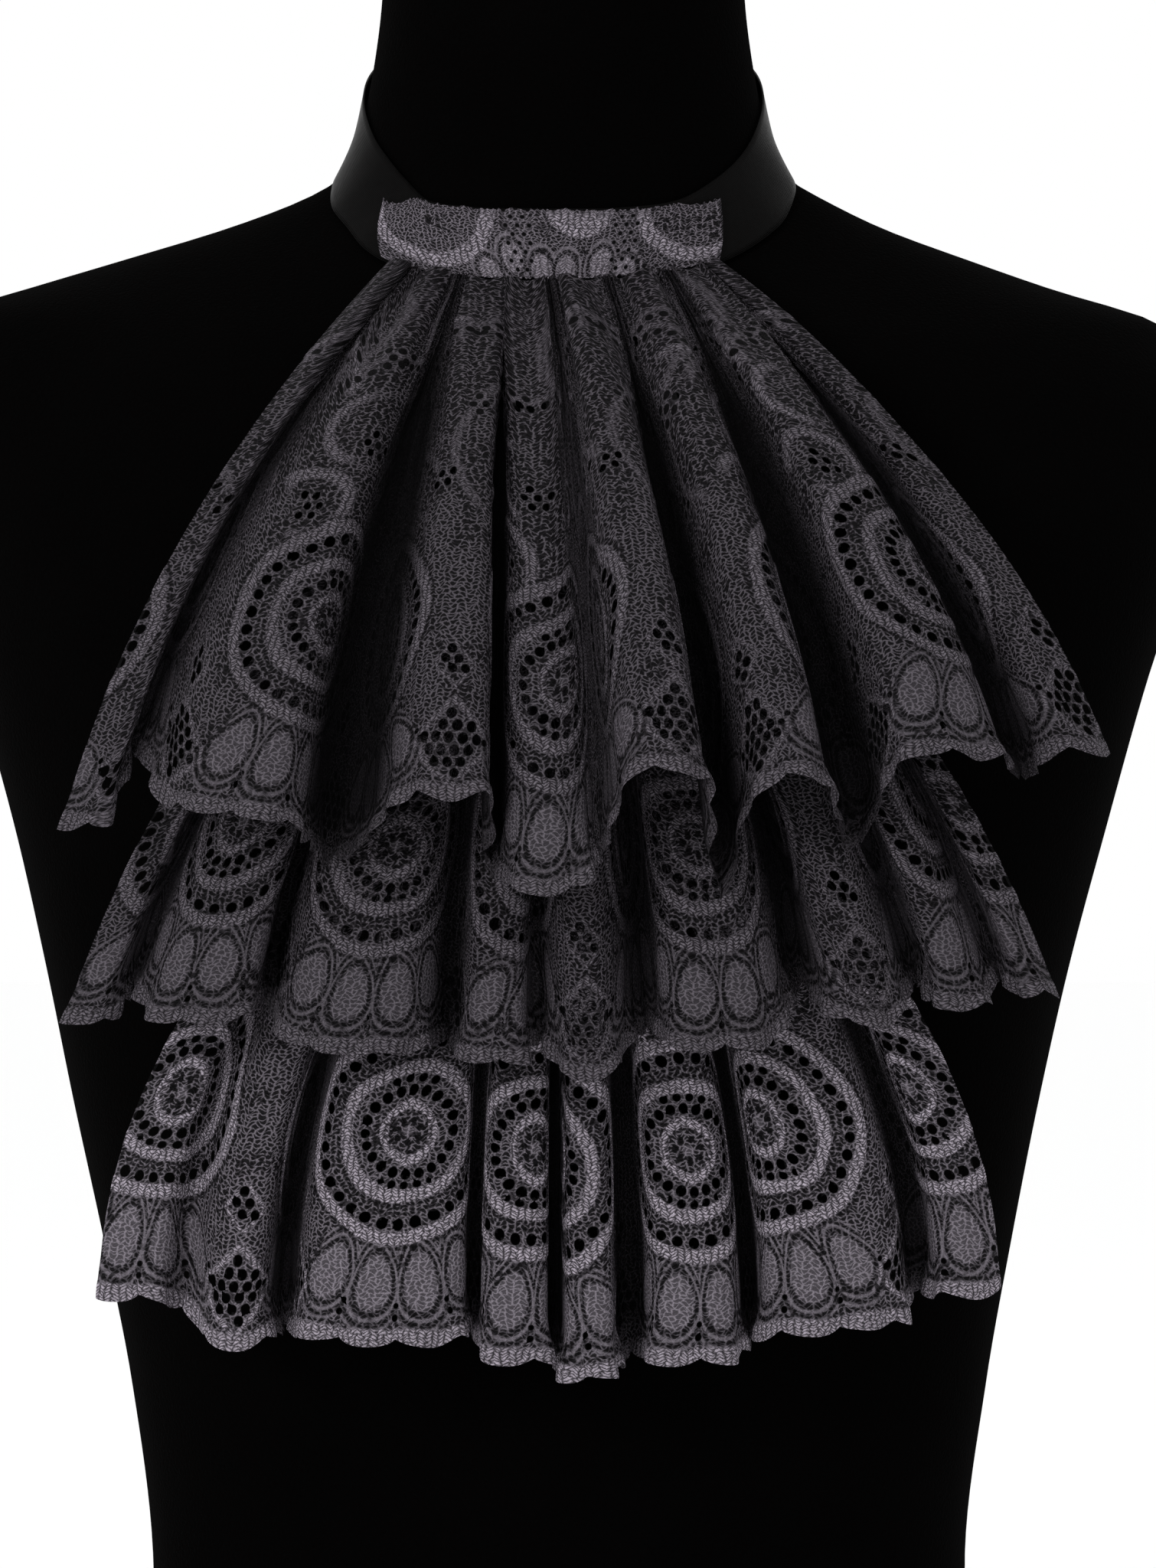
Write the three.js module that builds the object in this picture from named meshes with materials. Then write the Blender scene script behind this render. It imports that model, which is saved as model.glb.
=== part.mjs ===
// A black lace jabot of three gathered ruffles, worn by a limbless dress form.
// Millimetres, +Z up. The origin is the middle of the form's flat base, +X is the viewer's right
// and -Y is the front.
import * as THREE from "three";
import { ParametricGeometry } from "three/addons/geometries/ParametricGeometry.js";
import { mergeGeometries, mergeVertices } from "three/addons/utils/BufferGeometryUtils.js";

// ---------- driving dimensions ----------

const SEAM_GAP = 0.3; // between pieces that are sewn together
const FORM_HEIGHT = 668;
const FORM_CLEARANCE = 1.1; // between the form and the cloth that rests on it
const RIBBON_WIDTH = 25;
const RIBBON_THICK = 1.0;
const BAND_THICK = 1.2;
const BAND_FROM = -45; // degrees round the neck from the front, + to the viewer's right
const BAND_TO = 45;
const BAND_FLARE = 0.18; // how much further round it reaches at its upper edge, so its ends are upright
const COLLAR_STEP = 4.5; // degrees between the corners of the ribbon and of the band
const COLLAR_ROWS = 3;
const RIBBON_LAP = 9; // degrees that each ribbon end runs past the nape
const BACKING_THICK = 1.0;
const LACE_THICK = 1.2;
const SCALLOP_WIDTH = 19.2; // one lobe of the lace's hem
const SCALLOP_DEPTH = 2.4;
const COLUMNS_PER_SCALLOP = 4;
const FULLEST = 390; // the chest's fullest level, below which the cloth hangs plumb
const GATHER_DEPTH = 2.2; // how far the gathers stand out and in at a ruffle's seam

// The form's level sections: its body is a superellipse, "front" and "back" from the plane y = 0.
const BODY = [
  { z: 0, centre: 0, half: 153, front: 104, back: 100, square: 2.3 },
  { z: 50, centre: 0, half: 144, front: 100, back: 96, square: 2.3 },
  { z: 108, centre: -1.5, half: 139.6, front: 99, back: 93, square: 2.3 },
  { z: 171, centre: -1.5, half: 147, front: 104, back: 95, square: 2.3 },
  { z: 219, centre: -2, half: 156, front: 110, back: 98, square: 2.3 },
  { z: 266, centre: -2.5, half: 165.7, front: 116, back: 102, square: 2.3 },
  { z: 314, centre: -2, half: 176, front: 121, back: 107, square: 2.3 },
  { z: 361, centre: -1, half: 187.6, front: 124.5, back: 112, square: 2.3 },
  { z: 409, centre: -1, half: 201, front: 124, back: 117, square: 2.3 },
  { z: 450, centre: -1, half: 214, front: 117, back: 120, square: 2.3 },
  { z: 480, centre: -2, half: 221, front: 107, back: 120, square: 2.3 },
  { z: 508, centre: -3, half: 224, front: 92, back: 117, square: 2.3 },
  { z: 527, centre: -6, half: 217, front: 77, back: 109, square: 2.15 },
  { z: 535.4, centre: -8.5, half: 212, front: 68, back: 103, square: 2 },
  { z: 545.9, centre: -8.5, half: 178.5, front: 57, back: 94, square: 2 },
  { z: 556.5, centre: -6, half: 145.5, front: 47, back: 84, square: 2 },
  { z: 567, centre: -3, half: 114, front: 38, back: 72, square: 2 },
  { z: 577.6, centre: 0, half: 89, front: 30, back: 60, square: 2 },
  { z: 588.1, centre: 0, half: 70, front: 24, back: 50, square: 2 },
  { z: 604, centre: 0, half: 50, front: 20, back: 40, square: 2 },
  { z: 668, centre: 0, half: 40, front: 20, back: 30, square: 2 },
];

// The neck's level sections, ellipses that rise out of the shoulders and lean forward.
const NECK = [
  { z: 0, half: 60, front: 54, back: 60 },
  { z: 500, half: 66, front: 58, back: 76 },
  { z: 546, half: 70, front: 61, back: 78 },
  { z: 577.6, half: 71, front: 61, back: 74 },
  { z: 593.4, half: 71.5, front: 61, back: 70 },
  { z: 604, half: 69, front: 61, back: 67 },
  { z: 625, half: 65, front: 62.5, back: 62 },
  { z: 646, half: 62.5, front: 64, back: 59 },
  { z: 668, half: 62, front: 65.5, back: 57 },
];
const NECK_BLEND = 16; // the higher, the tighter the curve where neck meets shoulder

const FORM_LEVELS = [
  30, 70, 108, 150, 195, 240, 290, 340, 385, 420, 450, 475, 497, 514, 526, 534, 541, 547, 553, 559,
  565, 571, 577, 583, 589, 596, 604, 615, 630, 647, 662,
];
const FORM_SEGMENTS = 48;
const FORM_EDGE = 4; // height of the rounding at the base and the top
const FORM_EDGE_DRAW = 0.965; // how far the rounding draws in

// Height of the neck ribbon's middle, by degrees from the front.
const RIBBON_PATH = [
  { turn: 0, z: 557 },
  { turn: 25, z: 558 },
  { turn: 45, z: 562.5 },
  { turn: 60, z: 574 },
  { turn: 75, z: 589 },
  { turn: 90, z: 602 },
  { turn: 110, z: 614 },
  { turn: 135, z: 623 },
  { turn: 160, z: 627 },
  { turn: 190, z: 628 },
];

// The backing: half its width at each height.
const BACKING_TOP = 545.5;
const BACKING = [
  { z: 372, half: 44 },
  { z: 400, half: 45 },
  { z: 482, half: 50 },
  { z: 545.5, half: 52 },
];

// Ruffles. "seam" is the height of the gathered edge (none: the band's lower edge), "slack" is how
// much further than its seam gap that edge stands off where the chest curves away, "stand" is how
// far the cloth's middle stands off the chest at the hem, "swell" how late it gets there (the
// power of the share of the way down), "deepen" the same for the folds' depth, "early" how much
// faster the folds fan out below the seam than on average, and "spread" is the half-width over
// which the cloth falls back to the sides. Each fold has a row, from left to right:
//   top: the fold's x at the seam; hem, half, low, out: its crest at the hem, half of the panel that
//   faces forward, its height, and how far it stands out; dip, floor, dipLow, in: the valley on its
//   right at the hem, half of its floor, its height and its depth. A floor that reaches past the
//   panel's edge is overhung by it.
const RUFFLES = {
  ruffle_top: {
    slack: 0.7,
    stand: 64,
    swell: 0.8,
    deepen: 0.75,
    early: 1.5,
    spread: 180,
    folds: [
      { top: -56, hem: -155, half: 8, low: 362, out: 9, dip: -139, floor: 3, dipLow: 390, in: 13 },
      { top: -43, hem: -107, half: 22, low: 367, out: 14, dip: -74, floor: 9, dipLow: 351, in: 26 },
      { top: -25, hem: -36, half: 17, low: 373, out: 13, dip: -25, floor: 5, dipLow: 350, in: 24 },
      { top: -13, hem: -6, half: 12, low: 343, out: 13, dip: 13, floor: 3, dipLow: 354, in: 2 },
      { top: 4, hem: 35, half: 14, low: 381, out: 15, dip: 50, floor: 6, dipLow: 339, in: 24 },
      { top: 24, hem: 74, half: 13, low: 378, out: 12, dip: 95, floor: 8, dipLow: 355, in: 25 },
      { top: 43, hem: 125, half: 20, low: 386, out: 12, dip: 148, floor: 5, dipLow: 379, in: 17 },
      { top: 50, hem: 169, half: 9, low: 387, out: 8, dip: 0, floor: 0, dipLow: 0, in: 0 },
    ],
  },
  ruffle_middle: {
    seam: 482,
    slack: 0,
    stand: 41,
    swell: 1.5,
    deepen: 1.3,
    early: 1.5,
    spread: 180,
    folds: [
      { top: -46, hem: -156, half: 7, low: 298, out: 8, dip: -141, floor: 3, dipLow: 311, in: 14 },
      { top: -37, hem: -118, half: 19, low: 300, out: 12, dip: -97, floor: 4, dipLow: 309, in: 18 },
      { top: -27, hem: -69, half: 24, low: 291, out: 13, dip: -37, floor: 4, dipLow: 293, in: 18 },
      { top: -14, hem: -22, half: 11, low: 287, out: 12, dip: -9, floor: 3, dipLow: 296, in: 12 },
      { top: -1, hem: 8, half: 9, low: 283, out: 14, dip: 27, floor: 5, dipLow: 298, in: 16 },
      { top: 13, hem: 52, half: 20, low: 292, out: 12, dip: 78, floor: 5, dipLow: 312, in: 20 },
      { top: 25, hem: 99, half: 12, low: 299, out: 12, dip: 115, floor: 4, dipLow: 313, in: 15 },
      { top: 34, hem: 130, half: 8, low: 303, out: 10, dip: 142, floor: 3, dipLow: 315, in: 12 },
      { top: 42, hem: 155, half: 6, low: 308, out: 7, dip: 0, floor: 0, dipLow: 0, in: 0 },
    ],
  },
  ruffle_bottom: {
    seam: 381,
    slack: 0,
    stand: 25,
    swell: 1.4,
    deepen: 1.1,
    early: 2,
    spread: 180,
    folds: [
      { top: -54, hem: -141, half: 11, low: 209, out: 8, dip: -124, floor: 3, dipLow: 205, in: 8 },
      { top: -45, hem: -107, half: 10, low: 194, out: 8, dip: -91, floor: 5, dipLow: 199, in: 15 },
      { top: -27, hem: -58, half: 29, low: 196, out: 12, dip: -29, floor: 5, dipLow: 199, in: 12 },
      { top: -8, hem: -16, half: 13, low: 190, out: 10, dip: -3, floor: 4, dipLow: 190, in: 14 },
      { top: 4, hem: 9, half: 9, low: 184, out: 12, dip: 22, floor: 6, dipLow: 190, in: 16 },
      { top: 16, hem: 43, half: 16, low: 190, out: 11, dip: 61, floor: 4, dipLow: 194, in: 15 },
      { top: 30, hem: 89, half: 25, low: 199, out: 11, dip: 116, floor: 6, dipLow: 210, in: 16 },
      { top: 48, hem: 132, half: 11, low: 210, out: 8, dip: 0, floor: 0, dipLow: 0, in: 0 },
    ],
  },
};
const RUFFLE_ROWS = 6;
const SIDE_SETTLE = 0.4; // share of "stand" that is lost at the sides

// ---------- numbers from tables ----------

// A smooth curve through a table's rows, by cubic steps with mean slopes.
function smooth(table, key, column, at) {
  const last = table.length - 1;
  const x = Math.min(Math.max(at, table[0][key]), table[last][key]);
  let i = 0;
  while (i < last - 1 && x > table[i + 1][key]) i += 1;
  const slope = (a, b) => (table[b][column] - table[a][column]) / (table[b][key] - table[a][key]);
  const here = slope(i, i + 1);
  const before = i > 0 ? (slope(i - 1, i) + here) / 2 : here;
  const after = i + 2 <= last ? (here + slope(i + 1, i + 2)) / 2 : here;
  const step = table[i + 1][key] - table[i][key];
  const t = (x - table[i][key]) / step;
  return (
    table[i][column] * (1 + 2 * t) * (1 - t) ** 2 +
    table[i + 1][column] * t * t * (3 - 2 * t) +
    step * t * (1 - t) * (before * (1 - t) - after * t)
  );
}

const mix = (a, b, t) => a + (b - a) * t;

function ease(from, to, at) {
  const t = Math.min(Math.max((at - from) / (to - from), 0), 1);
  return t * t * (3 - 2 * t);
}

// ---------- the form's surface ----------

const sections = new Map();
function sectionAt(z) {
  if (!sections.has(z)) {
    const row = (table, columns) =>
      Object.fromEntries(columns.map((column) => [column, smooth(table, "z", column, z)]));
    sections.set(z, {
      body: row(BODY, ["centre", "half", "front", "back", "square"]),
      neck: row(NECK, ["half", "front", "back"]),
    });
  }
  return sections.get(z);
}

// The form's surface at height z, turn in radians from the front.
function formPoint(turn, z, share = 1) {
  const { body, neck } = sectionAt(z);
  const side = Math.sin(turn);
  const forward = Math.cos(turn);
  const end = forward > 0 ? "front" : "back";
  const bodyRadius =
    (Math.abs(side / body.half) ** body.square + Math.abs(forward / body[end]) ** body.square) **
    (-1 / body.square);
  const neckRadius = 1 / Math.hypot(side / neck.half, forward / neck[end]);
  const blend = (bodyRadius ** NECK_BLEND + neckRadius ** NECK_BLEND) ** (1 / NECK_BLEND);
  return new THREE.Vector3(body.centre + blend * share * side, -blend * share * forward, z);
}

function formNormal(turn, z) {
  const step = 0.01;
  const round = formPoint(turn + step, z).sub(formPoint(turn - step, z));
  const up = formPoint(turn, z + 0.5).sub(formPoint(turn, z - 0.5));
  return round.cross(up).normalize();
}

const clearOf = (turn, z, clear) => formPoint(turn, z).addScaledVector(formNormal(turn, z), clear);

// The turn of the form's front surface that lies at x.
function turnAt(x, z) {
  let low = -Math.PI / 2;
  let high = Math.PI / 2;
  for (let i = 0; i < 24; i += 1) {
    const middle = (low + high) / 2;
    if (formPoint(middle, z).x < x) low = middle;
    else high = middle;
  }
  return (low + high) / 2;
}

// ---------- closed solids ----------

function closed(parts) {
  for (const part of parts) {
    part.deleteAttribute("normal");
    part.deleteAttribute("uv");
  }
  const solid = mergeVertices(mergeGeometries(parts), 1e-4);
  solid.computeVertexNormals();
  return solid;
}

// A cloth wall: two faces a thickness apart about the surface middle(u, v), and its four rims.
function wall(middle, thick, columns, rows) {
  const step = 1e-3;
  const at = (u, v, share) => {
    const across = middle(Math.min(u + step, 1), v).sub(middle(Math.max(u - step, 0), v));
    const down = middle(u, Math.min(v + step, 1)).sub(middle(u, Math.max(v - step, 0)));
    const normal = across.cross(down).normalize();
    return middle(u, v).addScaledVector(normal, share * thick);
  };
  const grid = (point, across, down) =>
    new ParametricGeometry((a, b, target) => target.copy(point(a, b)), across, down);
  return closed([
    grid((u, v) => at(u, v, 0.5), columns, rows),
    grid((u, v) => at(1 - u, v, -0.5), columns, rows),
    grid((u, share) => at(u, 0, share - 0.5), columns, 1),
    grid((u, share) => at(1 - u, 1, share - 0.5), columns, 1),
    grid((v, share) => at(1, v, share - 0.5), rows, 1),
    grid((v, share) => at(0, 1 - v, share - 0.5), rows, 1),
  ]);
}

// ---------- dress form ----------

function dressForm() {
  const profile = [
    { share: 0, z: 0 },
    { share: FORM_EDGE_DRAW, z: 0 },
    { share: 1, z: FORM_EDGE },
    ...FORM_LEVELS.map((z) => ({ share: 1, z })),
    { share: FORM_EDGE_DRAW, z: FORM_HEIGHT },
    { share: 0, z: FORM_HEIGHT },
  ];
  const lathe = new THREE.LatheGeometry(
    profile.map(({ share, z }) => new THREE.Vector2(share, z)),
    FORM_SEGMENTS,
  );
  const position = lathe.getAttribute("position");
  for (let i = 0; i < position.count; i += 1) {
    const share = Math.hypot(position.getX(i), position.getZ(i));
    const turn = Math.atan2(position.getX(i), position.getZ(i));
    const point = formPoint(turn, position.getY(i), share);
    position.setXYZ(i, point.x, point.y, point.z);
  }
  return closed([lathe]);
}

// ---------- neck ribbon and lace band ----------

// A strip round the neck, on its path: v runs from its upper edge to its lower one.
function collar(degrees, v, clear) {
  const middleAt = (turn) =>
    formPoint(turn, smooth(RIBBON_PATH, "turn", "z", Math.abs(turn) / THREE.MathUtils.DEG2RAD));
  const turn = degrees * THREE.MathUtils.DEG2RAD;
  const middle = middleAt(turn);
  const along = middleAt(turn + 0.02).sub(middleAt(turn - 0.02));
  const across = along.cross(formNormal(turn, middle.z)).normalize();
  const edge = (reach) => {
    const point = middle.clone().addScaledVector(across, reach);
    const pointTurn = Math.atan2(point.x - smooth(BODY, "z", "centre", point.z), -point.y);
    return clearOf(pointTurn, point.z, clear);
  };
  return edge(-RIBBON_WIDTH / 2).lerp(edge(RIBBON_WIDTH / 2), v);
}

const RIBBON_CLEAR = FORM_CLEARANCE + RIBBON_THICK / 2;
const BAND_CLEAR = RIBBON_CLEAR + RIBBON_THICK / 2 + 3 * SEAM_GAP + BAND_THICK / 2;

function neckRibbon() {
  const start = -180 - RIBBON_LAP;
  const end = 180 + RIBBON_LAP;
  const lapRise = RIBBON_THICK + SEAM_GAP; // the right end lies over the left one
  const surface = (u, v) => {
    const degrees = mix(start, end, u);
    const lift = lapRise * ease(end - 5 * RIBBON_LAP, end - 2.5 * RIBBON_LAP, degrees);
    return collar(degrees, v, RIBBON_CLEAR + lift);
  };
  return wall(surface, RIBBON_THICK, (end - start) / COLLAR_STEP, COLLAR_ROWS);
}

function laceBand() {
  const surface = (u, v) => {
    const degrees = mix(BAND_FROM, BAND_TO, u) * (1 + BAND_FLARE * (1 - v));
    return collar(degrees, v, BAND_CLEAR);
  };
  return wall(surface, BAND_THICK, (BAND_TO - BAND_FROM) / COLLAR_STEP, COLLAR_ROWS);
}

// The height at x of the lower edge of a strip that lies so far off the form.
function footOf(clear) {
  const edge = [];
  for (let turn = BAND_FROM - 15; turn <= BAND_TO + 15; turn += COLLAR_STEP) {
    edge.push(collar(turn, 1, clear));
  }
  return (x) => smooth(edge, "x", "z", x);
}
const ribbonFoot = footOf(RIBBON_CLEAR);
const bandFoot = footOf(BAND_CLEAR);

// ---------- backing ----------

const BACKING_CLEAR = FORM_CLEARANCE + BACKING_THICK / 2;

function backing() {
  const foot = BACKING[0].z;
  const surface = (u, v) => {
    const level = mix(BACKING_TOP, foot, v);
    const x = smooth(BACKING, "z", "half", level) * (2 * u - 1) - 3.5 * (1 - v);
    const z = mix(ribbonFoot(x) - 2 * SEAM_GAP, foot, v);
    const turn = turnAt(x, z);
    return clearOf(turn, z - BACKING_CLEAR * formNormal(turn, z).z, BACKING_CLEAR);
  };
  return wall(surface, BACKING_THICK, 16, 16);
}

// ---------- ruffles ----------

// How far in front of the chest a ruffle's gathered edge lies, just clear of the backing.
function seamStand(z) {
  const backingFront = (BACKING_CLEAR + BACKING_THICK / 2) / -formNormal(0, z).y;
  return backingFront + SEAM_GAP + LACE_THICK / 2 + GATHER_DEPTH;
}

// The y of a surface that stands off the chest, below the fullest level as if hung from it.
function chestFront(x, z) {
  const level = Math.max(z, FULLEST);
  const narrow = mix(0.8, 1, ease(440, 546, z));
  return formPoint(turnAt(x * narrow, level), level).y;
}

// A ruffle's control points, five for each fold, at the seam and at the hem.
function controls({ folds }) {
  const points = [];
  folds.forEach((fold, i) => {
    const next = folds[i + 1];
    const room = next ? next.top - fold.top : fold.top - folds[i - 1].top;
    for (const side of [-1, 0, 1]) {
      points.push({
        top: fold.top + side * room * 0.2,
        topOut: GATHER_DEPTH,
        hem: fold.hem + side * fold.half,
        out: fold.out * (side ? 0.95 : 1.05),
        low: fold.low,
      });
    }
    if (!next) return;
    for (const side of [-1, 1]) {
      points.push({
        top: (fold.top + next.top) / 2 + side * room * 0.05,
        topOut: -GATHER_DEPTH,
        hem: fold.dip + side * fold.floor,
        out: -fold.in,
        low: fold.dipLow,
      });
    }
  });
  return points;
}

// A uniform cubic B-spline over the rows of a column, its ends held; at runs from 0 to 1.
function spline(points, column, at) {
  const last = points.length - 1;
  const place = at * (last + 2) - 1;
  const i = Math.min(Math.floor(place), last);
  const t = place - i;
  const value = (k) => points[Math.min(Math.max(k, 0), last)][column];
  return (
    (value(i - 1) * (1 - t) ** 3 +
      value(i) * (3 * t ** 3 - 6 * t ** 2 + 4) +
      value(i + 1) * (-3 * t ** 3 + 3 * t ** 2 + 3 * t + 1) +
      value(i + 2) * t ** 3) /
    6
  );
}

// The ruffle's middle surface: "at" runs along its control points, v from the seam to the hem.
function rufflePoint(ruffle, points, at, v) {
  const fan = ruffle.early * v - (ruffle.early - 1) * v * v;
  const x = mix(spline(points, "top", at), spline(points, "hem", at), fan);
  const seam = ruffle.seam ?? bandFoot(spline(points, "top", at)) - 3 * SEAM_GAP;
  const z = mix(seam, spline(points, "low", at), v);
  const wave = mix(spline(points, "topOut", at), spline(points, "out", at), v ** ruffle.deepen);
  const hung = ruffle.stand * (1 - SIDE_SETTLE * (x / ruffle.spread) ** 2);
  const stand = mix(ruffle.seamStand, hung, v ** ruffle.swell);
  return new THREE.Vector3(x, chestFront(x, z) - stand - wave, z);
}

// Even steps of cloth along the hem, so that the scallops keep their width round every fold.
function hemPlaces(ruffle, points) {
  const samples = 900;
  const lengths = [0];
  let before = rufflePoint(ruffle, points, 0, 1);
  for (let i = 1; i <= samples; i += 1) {
    const here = rufflePoint(ruffle, points, i / samples, 1);
    lengths.push(lengths[i - 1] + here.distanceTo(before));
    before = here;
  }
  const flat = lengths[samples];
  const scallops = Math.round(flat / SCALLOP_WIDTH);
  const columns = scallops * COLUMNS_PER_SCALLOP;
  const place = (u) => {
    const wanted = u * flat;
    let i = 1;
    while (i < samples && lengths[i] < wanted) i += 1;
    return (i - 1 + (wanted - lengths[i - 1]) / (lengths[i] - lengths[i - 1])) / samples;
  };
  return { flat, scallops, columns, place };
}

function ruffle(settings) {
  const points = controls(settings);
  const sewn = { ...settings, seamStand: seamStand(settings.seam ?? BACKING_TOP) + settings.slack };
  const { scallops, columns, place } = hemPlaces(sewn, points);
  const surface = (u, v) => {
    const point = rufflePoint(sewn, points, place(u), v);
    const lobe = Math.abs(Math.sin(Math.PI * scallops * u)) ** 0.7;
    point.z -= SCALLOP_DEPTH * lobe * ease(0.8, 1, v);
    return point;
  };
  return wall(surface, LACE_THICK, columns, RUFFLE_ROWS);
}

// ---------- the part ----------

const satin = () =>
  new THREE.MeshStandardMaterial({ color: 0x0c0b0c, roughness: 0.35, metalness: 0 });
const lace = () =>
  new THREE.MeshStandardMaterial({ color: 0x2a272b, roughness: 0.6, metalness: 0 });
const velvet = () =>
  new THREE.MeshStandardMaterial({ color: 0x030303, roughness: 0.95, metalness: 0 });
const plainCloth = () =>
  new THREE.MeshStandardMaterial({ color: 0x101011, roughness: 0.8, metalness: 0 });

const jabot = new THREE.Group();
function add(name, geometry, material) {
  const mesh = new THREE.Mesh(geometry, material);
  mesh.name = name;
  jabot.add(mesh);
}

add("dress_form", dressForm(), velvet());
add("neck_ribbon", neckRibbon(), satin());
add("lace_band", laceBand(), lace());
add("backing", backing(), plainCloth());
for (const [name, settings] of Object.entries(RUFFLES)) {
  add(name, ruffle(settings), lace());
}

export default jabot;
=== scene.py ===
# %% [markdown]
# # A black lace jabot on a dress form
#
# A jabot is a fall of gathered lace that is tied at the throat. This one has three ruffles sewn to a hidden strip, a
# flat lace band over their top, and a satin ribbon that goes round the neck. It is shown on a limbless dress form.
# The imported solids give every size. The new pieces lie on those solids, and only their surface is finer: real folds,
# cut holes, raised braids and a thread-by-thread finish. Lengths are in metres, and the cloth's own tables, which a
# sewer would read, are in millimetres.

# %% The frame
import math

import bmesh
import bpy
import numpy as np
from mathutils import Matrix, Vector


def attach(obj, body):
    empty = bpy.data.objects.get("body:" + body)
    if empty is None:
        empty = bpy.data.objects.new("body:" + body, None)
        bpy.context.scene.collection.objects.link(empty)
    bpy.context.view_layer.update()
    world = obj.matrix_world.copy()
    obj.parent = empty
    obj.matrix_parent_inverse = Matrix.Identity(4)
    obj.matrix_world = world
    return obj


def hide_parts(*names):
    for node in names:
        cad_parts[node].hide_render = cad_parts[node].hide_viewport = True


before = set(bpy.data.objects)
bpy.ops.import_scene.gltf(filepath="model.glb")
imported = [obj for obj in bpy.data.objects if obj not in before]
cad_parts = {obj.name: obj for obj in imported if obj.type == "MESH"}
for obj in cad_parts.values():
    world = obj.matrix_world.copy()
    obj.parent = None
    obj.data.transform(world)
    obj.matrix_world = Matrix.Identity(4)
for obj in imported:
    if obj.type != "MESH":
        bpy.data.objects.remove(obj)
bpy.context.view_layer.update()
MM = 0.001
print("solids:", sorted(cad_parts))

# %% [markdown]
# ## The camera
#
# The camera stands well back, level with the lower edge of the top ruffle, so the ruffles are seen almost without
# perspective. A long lens frames the piece from above the neck to below the waist. The sensor is fitted to the
# picture's height, because the height is what the lens was worked out from.

# %% Camera
CAMERA_SIDE = 0.005
CAMERA_BACK = 2.667
CAMERA_HEIGHT = 0.376
LENS_IN_HEIGHTS = 10108 / 2048  # focal length over the picture's height

camera_data = bpy.data.cameras.new("camera")
camera_data.sensor_fit = "VERTICAL"
camera_data.sensor_width = camera_data.sensor_height = 36
camera_data.lens = LENS_IN_HEIGHTS * camera_data.sensor_height
camera = bpy.data.objects.new("camera", camera_data)
camera.location = (CAMERA_SIDE, -CAMERA_BACK, CAMERA_HEIGHT)
camera.rotation_euler = (math.radians(90), 0, 0)
bpy.context.scene.collection.objects.link(camera)
bpy.context.scene.camera = camera
print("camera lens:", round(camera_data.lens, 1), "mm")

# %% [markdown]
# ## The studio
#
# Black cloth is best shown in a white tent, where light comes softly from all round: it brings out the threads, and it
# draws a thin bright line on the ribbon where the satin turns away. The world is that tent. One soft lamp in front, a
# little to the left, gives the folds their direction. The colours are shown as they are, without a film curve.

# %% Floor
FLOOR_HALF = 12
FLOOR_LEVEL = -0.0005  # just under the form's base
FLOOR_WHITE = 0.99


def new_material(name):
    """A material and its shader."""
    material = bpy.data.materials.new(name)
    material.use_nodes = True
    return material, material.node_tree.nodes["Principled BSDF"]


def set_inputs(node, values):
    for name, value in values.items():
        node.inputs[name].default_value = value


def edited(mesh, change):
    """Applies a change to a mesh through a bmesh."""
    bm = bmesh.new()
    bm.from_mesh(mesh)
    bm.faces.ensure_lookup_table()
    change(bm)
    bm.to_mesh(mesh)
    bm.free()
    return mesh


def mesh_from(bm, name):
    """Ends a bmesh as a new mesh."""
    mesh = bpy.data.meshes.new(name)
    bm.to_mesh(mesh)
    bm.free()
    return mesh


def floor():
    """A large pale square, just under the form."""
    bm = bmesh.new()
    bmesh.ops.create_grid(bm, x_segments=1, y_segments=1, size=FLOOR_HALF)
    plane = bpy.data.objects.new("floor", mesh_from(bm, "floor"))
    plane.location = (0, 0, FLOOR_LEVEL)
    bpy.context.scene.collection.objects.link(plane)
    material, shader = new_material("floor")
    white = (FLOOR_WHITE, FLOOR_WHITE, FLOOR_WHITE, 1)
    set_inputs(shader, {"Base Color": white, "Roughness": 0.9, "Specular IOR Level": 0.1})
    plane.data.materials.append(material)
    return plane


floor()
print("floor:", 2 * FLOOR_HALF, "m square")

# %% Tent and lamp
KEY_PLACE = (-1.5, -2.4, 1.1)
KEY_AIM = (0, 0, 0.35)
KEY_SIZE = 0.8
KEY_WATTS = 30

key_data = bpy.data.lights.new("key", "AREA")
key_data.shape = "RECTANGLE"
key_data.size = key_data.size_y = KEY_SIZE
key_data.energy = KEY_WATTS
key = bpy.data.objects.new("key", key_data)
key.location = KEY_PLACE
key.rotation_euler = (Vector(KEY_PLACE) - Vector(KEY_AIM)).to_track_quat("Z", "Y").to_euler()
bpy.context.scene.collection.objects.link(key)

world = bpy.data.worlds.new("tent")
world.use_nodes = True
set_inputs(world.node_tree.nodes["Background"], {"Color": (1, 1, 1, 1), "Strength": 1.0})
bpy.context.scene.world = world
bpy.context.scene.view_settings.view_transform = "Standard"
print("key lamp to the chest:", round((Vector(KEY_PLACE) - Vector(KEY_AIM)).length, 2), "m")

# %% [markdown]
# ## Sums that work on numbers and in materials alike
#
# The same lace pattern is needed twice: to cut and raise the mesh, and to colour it thread by thread. So each sum is
# written once. `Socket` wraps a value inside a material: Python's own signs then add the Math nodes. The helpers
# below take either such a value or a NumPy array.


# %% Maths for sockets and arrays
def sign(operation):
    """One of Python's signs, as a Math node."""
    return lambda *values: Socket.maths(operation, *values)


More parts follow.
